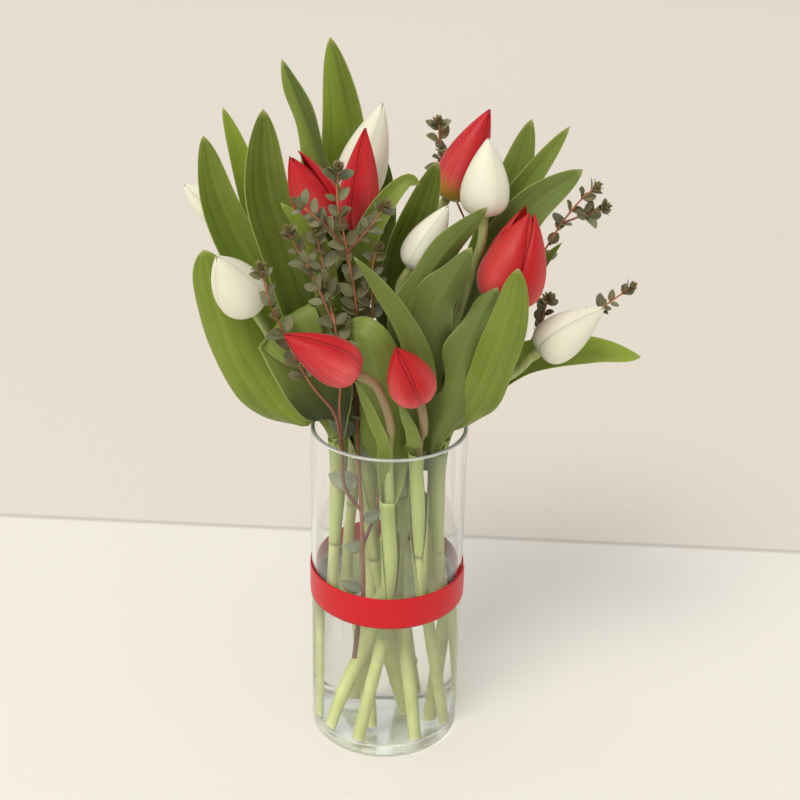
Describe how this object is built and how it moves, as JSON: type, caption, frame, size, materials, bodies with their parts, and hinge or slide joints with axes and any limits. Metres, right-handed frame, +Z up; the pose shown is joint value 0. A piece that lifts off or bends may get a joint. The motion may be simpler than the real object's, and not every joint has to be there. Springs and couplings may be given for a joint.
{
  "type": "tulips in a vase",
  "caption": "Bunch of red and white cut tulips with eucalyptus sprays, standing in water in a straight clear glass vase tied with a red ribbon.",
  "frame": {"origin": "centre of the flat underside of the vase, which rests on the table", "axes": "+Z up along the vase's axis; -Y is the front that the picture shows; +X is to the right as seen in the picture"},
  "size_m": [0.3222, 0.1632, 0.5001],
  "materials": {
    "glass": "clear, polished",
    "water": "clear liquid",
    "ribbon": "satin weave, bright red",
    "green": "waxy leaf skin, satin",
    "red_petal": "soft satin petal",
    "white_petal": "soft satin petal",
    "eucalyptus": "dull grey-green leaf on red-brown twigs"
  },
  "bodies": {
    "root": {"vase": "glass", "water": "water", "ribbon": "ribbon", "tulip_01_leafy_stem": "green", "tulip_01_bloom": "white_petal", "tulip_02_leafy_stem": "green", "tulip_02_bloom": "red_petal", "tulip_03_leafy_stem": "green", "tulip_03_bloom": "white_petal", "tulip_04_leafy_stem": "green", "tulip_04_bloom": "red_petal", "tulip_05_leafy_stem": "green", "tulip_05_bloom": "white_petal", "tulip_06_leafy_stem": "green", "tulip_06_bloom": "red_petal", "tulip_07_leafy_stem": "green", "tulip_07_bloom": "red_petal", "tulip_08_leafy_stem": "green", "tulip_08_bloom": "white_petal", "tulip_09_leafy_stem": "green", "tulip_09_bloom": "red_petal", "tulip_10_leafy_stem": "green", "tulip_10_bloom": "white_petal", "tulip_11_leafy_stem": "green", "tulip_11_bloom": "red_petal", "tulip_12_leafy_stem": "green", "tulip_12_bloom": "white_petal", "eucalyptus_spray_a": "eucalyptus", "eucalyptus_spray_b": "eucalyptus"}
  },
  "joints": []
}
